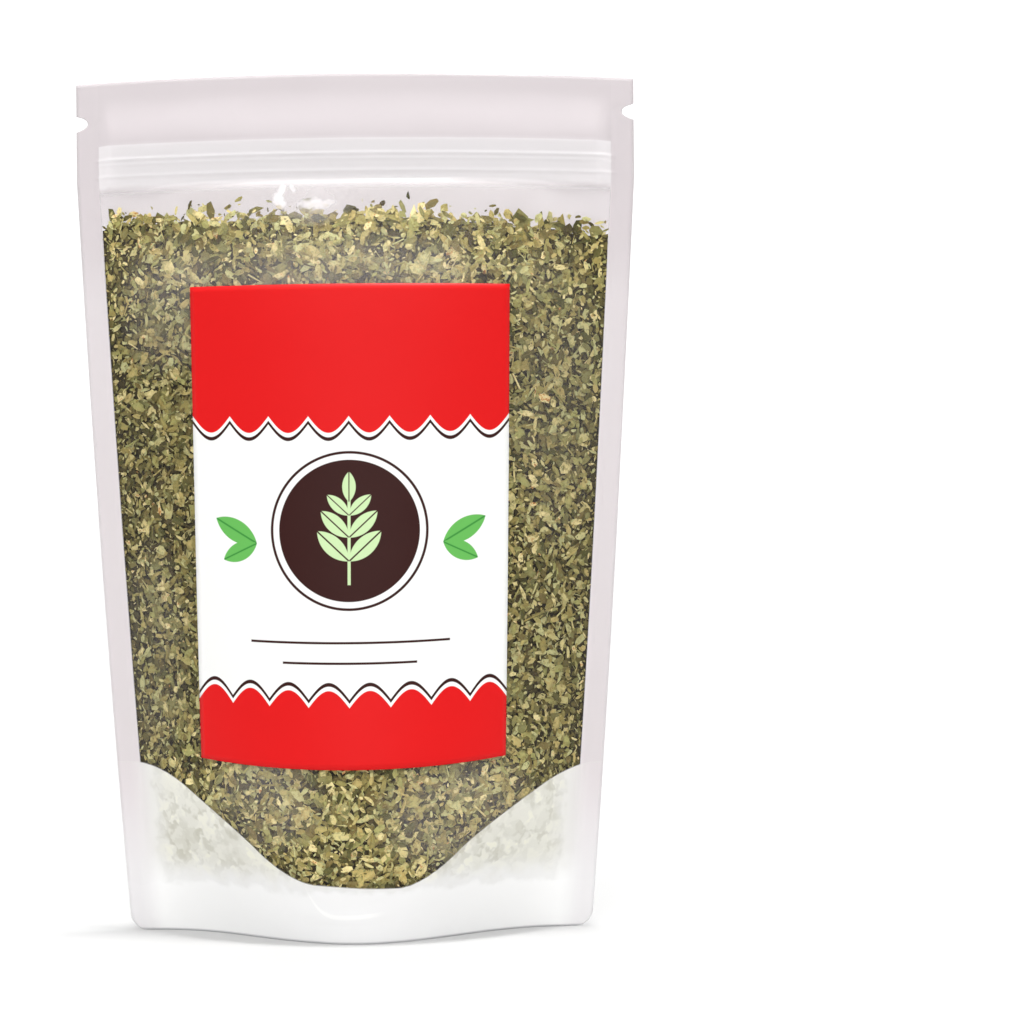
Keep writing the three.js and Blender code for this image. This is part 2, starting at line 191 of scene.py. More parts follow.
def keel_height(x):
    climb = share_between(BASE_FLAT, BASE_END - BASE_FLAT, abs(x))
    end = sharp_rim(math.copysign(BASE_END, x)) - KEEL_END_DROP
    return end * climb**KEEL_BEND


def room_inside(x, z):
    """Half the room inside the pouch at a point of its middle plane."""
    rim = rim_height(x)
    keel = keel_height(x)
    if z >= rim:
        return depth(x, z)
    if z <= keel:
        return 0.0
    below = (rim - z) / (rim - keel)
    return (depth(x, z) - BASE_CLEAR - FILM) * (1 - below**BASE_ROUND) ** (1 / BASE_ROUND)


def crest_height(x):
    wave = math.sin(0.21 * x / MM) * math.cos(0.13 * x / MM)
    drop = CREST_DROP[-1 if x < 0 else 1]
    return FILL_TOP - drop * (x / half_chord(FILL_TOP)) ** 2 + CREST_WAVE * wave


print(f"rim from {rim_height(0) / MM:.1f} to {rim_height(BASE_END) / MM:.1f} mm")

# %% [markdown]
# ## Nodes as Python sums
#
# Materials here are built from masks such as "in the weld" or "below the rim". Linking every Math node by
# hand hides the idea, so one small class wraps a node's socket. Its operators add the Math nodes, and its
# `add` method makes any other node from a type, its settings and the values of its sockets.


# %% A socket that can be calculated with
class Wire:
    """A node's output, or only a node tree when it has no socket yet."""

    def __init__(self, tree, socket=None):
        self.tree = tree
        self.socket = socket

    def add(self, kind, settings=None, values=None, out=0):
        node = self.tree.nodes.new(kind)
        for key, setting in (settings or {}).items():
            if key == "stops":
                set_stops(node.color_ramp, setting)
            else:
                setattr(node, key, setting)
        for key, value in (values or {}).items():
            if isinstance(value, Wire):
                self.tree.links.new(value.socket, node.inputs[key])
            else:
                node.inputs[key].default_value = value
        return Wire(self.tree, node.outputs[out] if node.outputs else None)

    def sibling(self, out):
        """Another output of the same node."""
        return Wire(self.tree, self.socket.node.outputs[out])

    def math(self, operation, *values):
        return self.add("ShaderNodeMath", {"operation": operation}, dict(enumerate(values)))

    def __add__(self, other):
        return self.math("ADD", self, other)

    def __sub__(self, other):
        return self.math("SUBTRACT", self, other)

    def __rsub__(self, other):
        return self.math("SUBTRACT", other, self)

    def __mul__(self, other):
        return self.math("MULTIPLY", self, other)

    __radd__ = __add__
    __rmul__ = __mul__

    def __truediv__(self, other):
        return self.math("DIVIDE", self, other)

    def __pow__(self, other):
        return self.math("POWER", self, other)

    def __abs__(self):
        return self.math("ABSOLUTE", self)

    def highest(self, other):
        return self.math("MAXIMUM", self, other)

    def lowest(self, other):
        return self.math("MINIMUM", self, other)

    def step(self, low, high):
        """0 below the low value, 1 above the high one, smooth between."""
        values = {"Value": self, "From Min": low, "From Max": high}
        return self.add("ShaderNodeMapRange", {"interpolation_type": "SMOOTHSTEP"}, values)

    def between(self, start, end):
        """A colour mixed by this factor."""
        return self.add("ShaderNodeMix", {"data_type": "RGBA"}, {0: self, 6: start, 7: end}, 2)

    def to_output(self):
        """Makes this shader the surface of its material."""
        self.add("ShaderNodeOutputMaterial", None, {"Surface": self})


def srgb(red, green, blue):
    """A colour as a picture editor shows it, 0 to 255, turned into Blender's linear values."""
    linear = [((value / 255 + 0.055) / 1.055) ** 2.4 for value in (red, green, blue)]
    return (*linear, 1.0)


def set_stops(ramp, stops):
    """Each stop is a position from 0 to 1 and a picture colour. The ramp starts with stops at 0 and 1."""
    ramp.elements[0].color = srgb(*stops[0][1])
    ramp.elements[1].color = srgb(*stops[-1][1])
    for position, colour in stops[1:-1]:
        ramp.elements.new(position).color = srgb(*colour)


def new_material(name):
    material = bpy.data.materials.new(name)
    material.use_nodes = True
    material.node_tree.nodes.clear()
    return material, Wire(material.node_tree)


def fractal(start, place, scale, detail, roughness=0.5):
    values = {"Vector": place, "Scale": scale, "Detail": detail, "Roughness": roughness}
    return start.add("ShaderNodeTexNoise", None, values)


def object_place(start):
    return start.add("ShaderNodeTexCoord", out="Object")


def principled(start, colour, roughness, specular, **more):
    values = {"Base Color": colour, "Roughness": roughness, "Specular IOR Level": specular, **more}
    return start.add("ShaderNodeBsdfPrincipled", None, values)


print("node helper ready")

# %% [markdown]
# ## The film
#
# Such film is a little milky. Where leaf presses against it, it looks clear. Where two films are welded,
# along the sides, the top and the foot, it looks white. So the material needs to know how far each point
# is from the weld, the base rim and the crest of the leaf. The mesh carries those distances in
# millimetres, and the material turns them into sharp or soft edges.

# %% Film tones
MILK = srgb(226, 219, 221)
# White of the zip band and of the painted highlights.
MILK_AND_HIGHLIGHT_WHITE = srgb(254, 251, 252)
BACK_MILK_WITH_PAINTED_LIGHT = srgb(240, 233, 235)
CORNER_MILK = srgb(238, 237, 233)
CORNER_WELD = srgb(238, 236, 237)
SKIRT_MILK = srgb(246, 246, 246)
PAINTED_LIGHT_WHITE = srgb(255, 255, 254)
FOOT_SHADE_LINE = srgb(196, 196, 198)
CORNER_SPOTS = [  # leaf that shows faintly through two films
    (0.0, (209, 207, 193)),
    (0.35, (228, 227, 216)),
    (0.6, (237, 236, 226)),
    (0.8, (242, 241, 230)),
    (1.0, (249, 248, 232)),
]
# Hazy patches: milky haze where the film stands off the leaf, partly a painted reflection of the lamps.
HAZE_AND_SHEEN_PATCHES = {  # side: centre and reach in mm across and up, and strength
    -1: [
        ((-6, 200), (60, 13), 0.1),
        ((-6, 203), (84, 24), 0.05),
        ((-57, 190), (18, 26), 0.08),
        ((60, 165), (18, 60), 0.04),
        ((30, 38), (28, 22), 0.1),
        ((-26, 42), (22, 18), 0.09),
        ((-62, 85), (14, 40), 0.04),
    ],
    1: [((10, 190), (60, 30), 0.1), ((-30, 90), (40, 60), 0.06), ((30, 40), (30, 25), 0.08)],
}
PAINTED_GLINTS = {  # the same, for painted glints: white strokes that stand for light reflected by the film
    -1: [
        ((-21.5, 221), (2.0, 6.0), 1.0),
        ((-18.0, 224), (1.4, 2.6), 0.8),
        ((-11.0, 219), (7.5, 2.0), 0.75),
        ((-13.0, 220), (16.0, 9.0), 0.3),
    ],
    1: [((24.0, 221), (2.0, 6.0), 0.5)],
}
print(len(HAZE_AND_SHEEN_PATCHES[-1]), "hazy patches on the front")

# %% [markdown]
# The mesh gives four distances: from the side weld, the rim of the base, the crest and the table. All
# masks are drawn from them. Two noises keep the edges from looking ruled: a cloud, and a wobble of a few
# millimetres that is added to a distance before it is compared.

# %% Masks of the film
FOLD_PLACE = (-4.0, 7.9)  # lowest point of the skirt's fold, mm across and up
FOLD_BEND = 140.0  # mm, larger is flatter
FOLD_HOOK = 170.0  # the same, for the sharp turn at its left end


def film_masks(start):
    """What a panel's finish is drawn from. Lengths are in mm, masks run from 0 to 1."""
    film = SimpleNamespace(place=object_place(start))
    for name in ("seal", "rim", "crest", "height"):
        setattr(film, name, start.add("ShaderNodeAttribute", {"attribute_name": name}, out="Fac"))
    film.across = start.add("ShaderNodeSeparateXYZ", None, {0: film.place}) * (1 / MM)
    film.cloud = fractal(start, film.place, 70, 5)
    film.wobble = 6 * (fractal(start, film.place, 190, 2) - 0.5)
    film.corner = 1 - film.rim.step(-0.3, 0.3)
    film.welded = film.seal.step(-0.2 - 2.0 * film.corner, 0.2 + 0.6 * film.corner)
    film.beside_weld = film.corner * (film.seal + film.wobble).step(-13.0, -3.0)
    film.top_band = film.height.step(223.0, 226.6)
    film.skirt = film.corner * (1 - (film.height + film.wobble).step(14.0, 25.0))
    return film


def haze_and_glint_patch(across, up, centre, reach, strength):
    """A soft spot: for haze where the film doesn't quite touch the leaf, with a painted reflection in it,
    and for painted glints.
    """
    side = (across - centre[0]) / reach[0]
    rise = (up - centre[1]) / reach[1]
    return (1 - (side * side + rise * rise).step(0.05, 1.0)) * strength


def painted_fold_highlight(across, height):
    """Painted highlight along a thin curved fold in the slack skirt, under the middle of the rim."""
    aside = across - FOLD_PLACE[0]
    climb = aside * aside / FOLD_BEND + (aside * -1).highest(0.0) ** 3 / FOLD_HOOK
    line = abs(height - climb - FOLD_PLACE[1])
    return (1 - line.step(0.2, 1.0)) * (1 - abs(aside).step(7.0, 14.0))


def faint_leaf(start, place):
    """Soft blots the size of flakes, for leaf that presses against the base film."""
    bend = start.add("ShaderNodeTexNoise", None, {"Vector": place, "Scale": 260.0, "Detail": 2.0}, "Color")
    moved = {0: bend, 1: (0.009, 0.009, 0.009), 2: place}
    bent = start.add("ShaderNodeVectorMath", {"operation": "MULTIPLY_ADD"}, moved)
    layout = {"Vector": bent, "Scale": 340.0, "Smoothness": 0.7}
    blot = start.add("ShaderNodeTexVoronoi", {"feature": "SMOOTH_F1"}, layout, "Color")
    tint = start.add("ShaderNodeSeparateColor", None, {0: blot})
    return start.add("ShaderNodeValToRGB", {"stops": CORNER_SPOTS}, {"Fac": tint})


print("film masks ready")

# %% [markdown]
# Thin film lets most light straight through, scatters some where it is milky, and mirrors a little, more
# at a flat angle. One shader stands for each, and Mix Shaders put them together. A glass shader would
# bend the light as a thick pane does, so the clear part is a Transparent one.


# %% Film shader
def film_surface(start, milk, colour, glow, gloss):
    """Glow is the share of the light that the milky parts let through and spread."""
    body = principled(start, colour, 0.4, 0.0)
    glowing = start.add("ShaderNodeBsdfTranslucent", None, {"Color": MILK})
    milky = start.add("ShaderNodeMixShader", None, {0: glow, 1: body, 2: glowing})
    clear = start.add("ShaderNodeBsdfTransparent")
    seen = start.add("ShaderNodeMixShader", None, {0: milk, 1: clear, 2: milky})
    shine = start.add("ShaderNodeBsdfGlossy", None, {"Roughness": 0.14})
    fresnel = start.add("ShaderNodeFresnel", None, {"IOR": 1.45})
    return start.add("ShaderNodeMixShader", None, {0: fresnel * gloss, 1: seen, 2: shine})


print("film shader ready")

# %% [markdown]
# A finish needs two things at every point: how milky the film is, and its tone. Welds, the top band and
# the skirt are nearly opaque, and the corners of the base are milky over faint leaf. The zip's bright
# lines, the glints and the fold in the skirt are painted highlights, the zip band and the skirt's sides
# have painted light, and the foot a painted shade line. The back panel is milky above the crest too, and
# painted lighter there.

# %% Film finish
CLEAREST = 0.004
MILKINESS = {"corner": 0.91, "beside_weld": 0.97, "skirt": 0.98, "welded": 0.95, "top_band": 0.93}
FILM_GLOSS = 0.4
# How light the zip band is painted: partly the zip's own milkier plastic, partly painted light.
ZIP_PAINTED_LIGHT = 0.95
GLOW = {-1: 0.24, 1: 0.5}  # share of the light that the upper film spreads to its other side
# Each zip line raises a ridge in the film and is also painted on it as a highlight.
ZIP_LINES = [(19.5, 0.2), (23.7, 0.9), (25.2, 0.5), (28.8, 0.9)]  # mm below the top edge, and strength


def film_milk(film, side):
    """How milky the film is: 0 is clear, 1 is opaque."""
    milk = CLEAREST + 0.012 * film.cloud
    for centre, reach, strength in HAZE_AND_SHEEN_PATCHES[side]:
        # Partly painted reflection: each hazy patch makes the film milkier.
        patch = haze_and_glint_patch(film.across, film.height, centre, reach, strength)
        milk = milk + patch * (0.4 + 1.2 * film.cloud)
    for mask, share in MILKINESS.items():
        milk = milk.highest(getattr(film, mask) * share)
    return milk


def foot_colour(start, film):
    """The tone of the milk, which changes below the rim, with painted light on the skirt and painted shade
    at the foot.
    """
    spots = (1 - (film.seal + film.wobble).step(-9.0, -2.0)) * (0.5 + film.cloud).lowest(1.0)
    behind = spots.between(CORNER_MILK, faint_leaf(start, film.place))
    colour = film.corner.between(MILK, behind)
    # Painted light: the skirt is painted whiter towards its sides, where less light falls, and along the
    # fold.
    bright = film.seal.step(-62.0, -18.0).highest(painted_fold_highlight(film.across, film.height))
    colour = film.skirt.between(colour, bright.between(SKIRT_MILK, PAINTED_LIGHT_WHITE))
    strip = film.height.step(12.0, 50.0).between(CORNER_WELD, MILK)
    colour = (film.corner * film.seal.step(-4.5, 4.0)).between(colour, strip)
    # Painted shade: a thin darker line along the bottom edge, where the film meets the table.
    return (1 - film.height.step(0.2, 0.9)).between(colour, FOOT_SHADE_LINE)


def zip_tone_and_painted_highlights(film, colour):
    """Painted highlights along the zip's jaws, over a band painted lighter: its own milkier plastic and
    painted light.
    """
    shine = ZIP_PAINTED_LIGHT
    for below, strength in ZIP_LINES:
        from_line = abs(film.height - (HEIGHT / MM - below))
        shine = shine + strength * (1 - from_line.step(0.2, 0.9))
    zip_band = film.top_band * (1 - film.height.step(238.4, 239.0)) * (1 - film.welded)
    return (zip_band * shine).lowest(1.0).between(colour, MILK_AND_HIGHLIGHT_WHITE)


def film_finish(name, side):
    material, start = new_material(name)
    material.surface_render_method = "BLENDED"
    film = film_masks(start)
    milk = film_milk(film, side)
    colour = foot_colour(start, film)
    if side > 0:
        milk = milk.highest(film.crest.step(-5.0, 2.5) * 0.95)
        # Painted light: above the crest the back film's milk is painted lighter, for its shaded inner face.
        colour = (film.crest.step(-5.0, 0.0) * (1 - film.top_band)).between(colour, BACK_MILK_WITH_PAINTED_LIGHT)
    # Painted highlights: each glint makes the film milky and white along a short stroke.
    for centre, reach, strength in PAINTED_GLINTS[side]:
        glint = haze_and_glint_patch(film.across + film.wobble, film.height + film.wobble, centre, reach, strength)
        glint = glint * (0.3 + 1.4 * film.cloud)
        milk = milk.highest(glint)
        colour = glint.between(colour, MILK_AND_HIGHLIGHT_WHITE)
    colour = zip_tone_and_painted_highlights(film, colour)
    glow = 0.06 + GLOW[side] * film.height.step(190.0, 215.0)
    film_surface(start, milk, colour, glow, FILM_GLOSS).to_output()
    return material


front_finish = film_finish("front_film_finish", -1)
back_finish = film_finish("back_film_finish", 1)
inner_finish, inner_start = new_material("film_inner_face")
inner_start.add("ShaderNodeBsdfTransparent").to_output()
print("film finishes made")

# %% [markdown]
# ## The two panels
#
# Each panel is one sheet from the top edge to the foot. A grid is laid out flat, with its rows packed
# closely where the zip and the tear notches need detail, and every corner of it is moved to its place on
# the film. Loose film wrinkles: a slow noise lifts it by a few tenths of a millimetre, most of all under
# the zip and in the skirt below the weld. A Solidify modifier gives the sheet its wall.

# %% Outline and relief of a panel
CORNER_RADIUS = 5.0 * MM
NOTCH_DEPTH = 3.6 * MM
NOTCH_HEIGHT = 4.7 * MM
NOTCH_BELOW_TOP = {-1: 12.0 * MM, 1: 10.0 * MM}
FILM_WALL = 0.3 * MM
WELD_GAP = 0.02 * MM
RIDGE_HEIGHT = 0.55 * MM  # of a line of the zip with strength 1
RIDGE_WIDTH = 0.5 * MM
CREASE_HEIGHT = 0.5 * MM
CREASE_WIDTH = 1.0 * MM
SLACK_HEIGHTS = [0, 15, 45, 190, 206, 222, 228, 239, 246, 258]  # mm
SLACK = [0.4, 0.35, 0.12, 0.12, 0.4, 0.5, 0.12, 0.1, 0.14, 0.12]  # mm of wrinkle at those heights


def film_edge(z, hand):
    """Half-width of the cut film, with its round bottom corners and its tear notches."""
    edge = half_width(z)
    if z < CORNER_RADIUS:
        edge -= CORNER_RADIUS - math.sqrt(CORNER_RADIUS**2 - (CORNER_RADIUS - z) ** 2)
    from_notch = abs(z - (HEIGHT - NOTCH_BELOW_TOP[hand])) / (NOTCH_HEIGHT / 2)
    if from_notch < 1:
        edge -= NOTCH_DEPTH * (1 - from_notch**2.2) ** 0.8
    return edge


def zip_relief(x, z):
    end = smooth(0, 1.5 * MM, half_chord(z) + 1 * MM - abs(x))
    ridges = 0.0
    for below, share in ZIP_LINES:
        aside = (HEIGHT - below * MM - z) / RIDGE_WIDTH
        ridges += share * math.exp(-(aside**2))
    return end * RIDGE_HEIGHT * ridges


def skirt_crease(x, z):
    """The raised edge of the skirt's fold."""
    aside = x - FOLD_PLACE[0] * MM
    low = FOLD_PLACE[1] * MM + aside**2 / (FOLD_BEND * MM)
    fade = 1 - smooth(8 * MM, 16 * MM, abs(aside))
    return CREASE_HEIGHT * fade * math.exp(-(((z - low) / CREASE_WIDTH) ** 2))


def wrinkle(x, z, side):
    loose = np.interp(z / MM, SLACK_HEIGHTS, SLACK) * MM
    at_seal = 1 - 0.75 * smooth(half_chord(z) - 4 * MM, half_chord(z), abs(x))
    slow = noise.noise(Vector((x / (22 * MM), 9.0 * side, z / (16 * MM))))
    quick = noise.noise(Vector((x / (9 * MM), 31.0 * side, z / (8 * MM))))
    return loose * at_seal * (slow + 0.5 * quick)


def weld_share(x, z):
    """1 in the side welds and the top band, where the two films are one."""
    at_side = smooth(-0.5 * MM, 0.5 * MM, abs(x) - half_chord(z))
    at_top = smooth(ZIP_TOP, ZIP_TOP + ZIP_RELEASE, z)
    return max(at_side, at_top)


def film_relief(x, z, side):
    """Loose films wrinkle each in its own way, welded ones together."""
    own = zip_relief(x, z) + skirt_crease(x, z) + wrinkle(x, z, side)
    return lerp(own, -side * wrinkle(x, z, -1), weld_share(x, z))


def film_offset(x, z):
    """How far the outer face lies from the inner face of the CAD film."""
    return lerp(FILM, FILM_WALL + WELD_GAP - HALF_GAP, weld_share(x, z))


notch_height = HEIGHT - NOTCH_BELOW_TOP[-1]
print(f"the left notch reaches in to {film_edge(notch_height, -1) / MM:.1f} mm from the middle")

# %% [markdown]
# A short list of shares and heights says how the rows are spread: half of them lie in the top fifth. The
# outer columns lie in the side welds. While a corner is moved, its distances are stored with it for the
# material.

# %% Make the panels
FILM_COLUMNS = 116
FILM_ROWS = 230
SEAL_SHARE = 0.05  # share of the columns that lies in each side weld
ROW_SHARES = [0, 0.05, 0.60, 0.97, 1]
ROW_HEIGHTS = [0, 5, 222, 252, 258]  # mm


def film_column(share, z):
    chord = half_chord(z)
    ends = [-film_edge(z, -1), -chord, chord, film_edge(z, 1)]
    return float(np.interp(share, [0, SEAL_SHARE, 1 - SEAL_SHARE, 1], ends))


def flat_grid(columns, rows):
    """A bmesh grid of side 1 round the origin."""
    bm = bmesh.new()
    bmesh.ops.create_grid(bm, x_segments=columns, y_segments=rows, size=0.5)
    return bm


def mesh_object(name, bm, *materials, smooth=True):
    """Turns a bmesh into an object at the origin."""
    mesh = bpy.data.meshes.new(name)
    for face in bm.faces:
        face.smooth = smooth
    bm.to_mesh(mesh)
    bm.free()
    for material in materials:
        mesh.materials.append(material)
    piece = bpy.data.objects.new(name, mesh)
    bpy.context.collection.objects.link(piece)
    return piece


def give_wall(piece, wall, inner=1):
    """The inner face and the edges get the next finish, or the same one if inner is 0."""
    solid = piece.modifiers.new("wall", "SOLIDIFY")
    solid.thickness = wall
    solid.offset = -1
    solid.material_offset = inner
    return piece


def film_panel(name, side, finish):
    bm = flat_grid(FILM_COLUMNS, FILM_ROWS)
    layers = bm.verts.layers.float
    seal, rim, crest, height = [layers.new(key) for key in ("seal", "rim", "crest", "height")]
    for vert in bm.verts:
        z = float(np.interp(vert.co.y + 0.5, ROW_SHARES, ROW_HEIGHTS)) * MM
        x = film_column(vert.co.x + 0.5, z)
        vert[seal] = (abs(x) - half_chord(z)) / MM
        vert[rim] = (z - rim_height(x)) / MM
        vert[crest] = (z - crest_height(x)) / MM
        vert[height] = z / MM
        vert.co = film_point(x, z, side, film_offset(x, z) + film_relief(x, z, side))
    if side > 0:
        bmesh.ops.reverse_faces(bm, faces=bm.faces[:])
    return give_wall(mesh_object(name, bm, finish, inner_finish), FILM_WALL)


def settle(piece, slot, *nodes):
    """Puts a piece under the root body and hides the CAD nodes that it stands for. The slot is not used."""
    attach(piece, "root")
    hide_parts(*nodes)
    print(piece.name, len(piece.data.polygons), "faces")


front_panel = film_panel("front_panel", -1, front_finish)
back_panel = film_panel("back_panel", 1, back_finish)
settle(front_panel, "film", "front_film")
settle(back_panel, "film", "back_film")

# %% [markdown]
# ## The base
#
# The base is a third film, folded up between the panels and welded to them along the rim. Under load its
# middle lies flat on the table. A grid is bent round a tub: one direction runs along the pouch, the other
# from the front rim down under the heap and up to the back rim.

# %% Base film
BASE_COLUMNS = 72
BASE_STEPS = 48
RIM_TUCK = 1.2 * MM  # the edge of the base film hides this far below the weld line


def base_finish():
    material, start = new_material("base_film_finish")
    cloud = fractal(start, object_place(start), 45, 3)
    film_surface(start, 0.02 + 0.06 * cloud, MILK, 0.1, FILM_GLOSS).to_output()
    return material


def base_point(along, turn):
    x = BASE_END * lerp(along, math.sin(along * math.pi / 2), 0.5)
    drop = math.sin(turn) ** (2 / BASE_ROUND)
    z = max(0.0, lerp(rim_height(x) - RIM_TUCK, keel_height(x), drop) - BASE_SETTLE * drop)
    share = math.copysign(abs(math.cos(turn)) ** (2 / BASE_ROUND), math.cos(turn))
    return Vector((x, -share * (depth(x, z) - BASE_CLEAR), z))


def base_piece():
    bm = flat_grid(BASE_COLUMNS, BASE_STEPS)
    for vert in bm.verts:
        turn = min(math.pi, max(0.0, math.pi * (vert.co.y + 0.5)))
        vert.co = base_point(2 * vert.co.x, turn)
    bmesh.ops.reverse_faces(bm, faces=bm.faces[:])
    return give_wall(mesh_object("base_gusset", bm, base_finish(), inner_finish), FILM_WALL)


base_gusset = base_piece()
settle(base_gusset, "film", "base_film")

# %% [markdown]
# ## The zip strips
#
# The CAD strips already have the right section, with a tongue and two jaws, so they stay. They only need
# a milky plastic in place of the plain CAD colour.


# %% Zip finish
def zip_finish():
    material, start = new_material("zip_finish")
    cloud = fractal(start, object_place(start), 60, 2)
    colour = cloud.between(srgb(240, 235, 236), srgb(248, 245, 246))
    film_surface(start, 0.6 + 0.2 * cloud, colour, 0.2, 0.8).to_output()
    return material


zip_milk = zip_finish()
for name in ("zip_groove_strip", "zip_tongue_strip"):
    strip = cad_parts[name]
    strip.data.materials.clear()
    strip.data.materials.append(zip_milk)
    print(name, "keeps its CAD mesh")

# %% [markdown]
# ## The label
#
# The label is coated paper stuck to the bulging panel. Paper doesn't stretch, so a point of it is found
# by walking along the bulge for as many millimetres as the paper is wide. The material draws the print
# from the label's own UV map: areas and lines are distances compared with a limit.

# %% Label sheet
LABEL_WIDTH = 97.0 * MM
LABEL_MIDDLE = -1.2 * MM
LABEL_BOTTOM = 51.5 * MM
LABEL_TOP = 195.0 * MM
LABEL_SAG = 2.6 * MM
LABEL_OFFSET = 0.75 * MM
LABEL_WALL = 0.18 * MM
LABEL_STRIDE = 1.0 * MM
LABEL_COLUMNS, LABEL_ROWS = 56, 84


def label_x(across, z):
    """Where a point of the label lies, given how far from its middle it is along the paper."""
    hand = math.copysign(1, across)
    x = LABEL_MIDDLE
    left = abs(across)
    while left > 1e-9:
        stride = min(LABEL_STRIDE, left)
        slope = (depth(x + hand * stride, z) - depth(x, z)) / stride
        x += hand * stride / math.hypot(1, slope)
        left -= stride
    return x


def label_piece(finish):
    bm = bmesh.new()
    bm.loops.layers.uv.new("UVMap")
    bmesh.ops.create_grid(bm, x_segments=LABEL_COLUMNS, y_segments=LABEL_ROWS, size=0.5, calc_uvs=True)
    for vert in bm.verts:
        across = vert.co.x
        bottom = LABEL_BOTTOM + LABEL_SAG * (2 * across) ** 2
        z = lerp(bottom, LABEL_TOP, vert.co.y + 0.5)
        x = label_x(across * LABEL_WIDTH, z)
        vert.co = film_point(x, z, -1, LABEL_OFFSET + 0.6 * film_relief(x, z, -1))
    return give_wall(mesh_object("front_label", bm, finish), LABEL_WALL, 0)


corners = [label_x(hand * LABEL_WIDTH / 2, LABEL_TOP) / MM for hand in (-1, 1)]
print("upper corners of the label at x =", [round(value, 1) for value in corners], "mm")

# %% [markdown]
# The print is a plain market-stall design: a red awning with scalloped edges above and below, thin dark
# lines, a dark round patch with a pale sprig, and two green leaves. It carries no lettering.

# %% Label drawing
PAPER = srgb(238, 238, 236)
RED_INK = srgb(217, 18, 20)
DARK_INK = srgb(51, 19, 16)
GREEN_INK = srgb(100, 178, 86)
PALE_GREEN = srgb(196, 222, 170)
LEAF_RIB = srgb(60, 140, 60)
SCALLOP = 12.125  # mm, an eighth of the label's width
SCALLOP_DROP = 5.0
AWNING_FOOT = 104.0
HEM_TOP = 18.0
PATCH_HEIGHT = 70.0
PATCH_RADIUS = 21.0
LABEL_LONG = (LABEL_TOP - LABEL_BOTTOM) / MM
INK_EDGE = 0.12  # mm over which ink fades into paper


def inside(distance):
    """1 where a distance is negative."""
    return 1 - distance.step(-INK_EDGE, INK_EDGE)


def leaf_shape(x, y, turn, long, wide):
    """Distance outside a pointed leaf that starts at 0, 0, and distance from its midrib."""
    along = x * math.cos(turn) + y * math.sin(turn) - long / 2
    aside = abs(y * math.cos(turn) - x * math.sin(turn))
    radius = (long**2 + wide**2) / (4 * wide)
    beyond = aside + (radius - wide / 2)
    return (along * along + beyond * beyond) ** 0.5 - radius, aside


def draw_leaf(colour, x, y, turn, long, wide, ink, rib_ink):
    outside, aside = leaf_shape(x, y, turn, long, wide)
    rib = inside(aside - wide / 24).between(ink, rib_ink)
    return inside(outside).between(colour, rib)


def print_bands(colour, x, y):
    """A red awning above and a red hem below, both scalloped, with a thin dark line."""
    swing = x * (math.pi / SCALLOP)
    scallop = SCALLOP_DROP * abs(swing.math("SINE", swing))
    for band in ((AWNING_FOOT - scallop) - y, y - (HEM_TOP + scallop)):
        colour = inside(band - 2.4).between(colour, DARK_INK)
        colour = inside(band - 1.3).between(colour, PAPER)
        colour = inside(band).between(colour, RED_INK)
    return colour


def print_sprig(colour, x, up):
    """A dark round patch with a ring, and a pale sprig on it."""
    mirrored = abs(x)
    patch = (x * x + up * up) ** 0.5 - PATCH_RADIUS
    colour = inside(abs(patch - 2.2) - 0.4).between(colour, DARK_INK)
    colour = inside(patch).between(colour, DARK_INK)
    stem = (mirrored - 0.45).highest(abs(up + 3.0) - 13.0)
    colour = inside(stem).between(colour, PALE_GREEN)
    for height, long in ((-9.0, 13.0), (-2.0, 11.5), (4.5, 9.0)):
        colour = draw_leaf(colour, mirrored, up - height, 0.75, long, 0.42 * long, PALE_GREEN, DARK_INK)
    return draw_leaf(colour, x, up - 8.5, math.pi / 2, 9.0, 4.0, PALE_GREEN, DARK_INK)


def print_sides(colour, x, up):
    """Two green leaves on each side, and two thin lines below."""
    mirrored = abs(x)
    for turn, long, wide in ((0.5, 15.0, 6.5), (-0.45, 12.0, 5.5)):
        colour = draw_leaf(colour, mirrored - 28.0, up + 4.0, turn, long, wide, GREEN_INK, LEAF_RIB)
    for below, half in ((33.0, 30.0), (39.0, 20.0)):
        line = (abs(up + below) - 0.35).highest(mirrored - half)
        colour = inside(line).between(colour, DARK_INK)
    return colour


print("label drawing ready")

# %% [markdown]
# The finish turns the UV map into millimetres on the label and hands them to the drawing. Coated paper
# has a fine grain that shows only in its shine, so the grain goes to the roughness and to a faint bump.


# %% Label finish
def label_finish():
    material, start = new_material("label_finish")
    uv = start.add("ShaderNodeUVMap", {"uv_map": "UVMap"})
    across = start.add("ShaderNodeSeparateXYZ", None, {0: uv})
    x = (across - 0.5) * (LABEL_WIDTH / MM)
    y = across.sibling("Y") * LABEL_LONG
    up = y - PATCH_HEIGHT
    colour = print_bands(PAPER, x, y)
    colour = print_sprig(colour, x, up)
    colour = print_sides(colour, x, up)
    grain = fractal(start, object_place(start), 900, 3)
    bump = start.add("ShaderNodeBump", None, {"Strength": 0.06, "Distance": 0.2 * MM, "Height": grain})
    principled(start, colour, 0.38 + 0.08 * grain, 0.15, Normal=bump).to_output()
    return material


front_label = label_piece(label_finish())
settle(front_label, "label", "label")

# %% [markdown]
# ## The dried leaf
#
# The fill is crushed leaf: thin torn flakes, most of them two or three millimetres long, some curled,
# with a few straw stems. A handful of flakes is made and then scattered. A dark heart fills the middle of
# the heap and closes the gaps between them. Its dark tone is painted shade, for leaf deep in the heap.

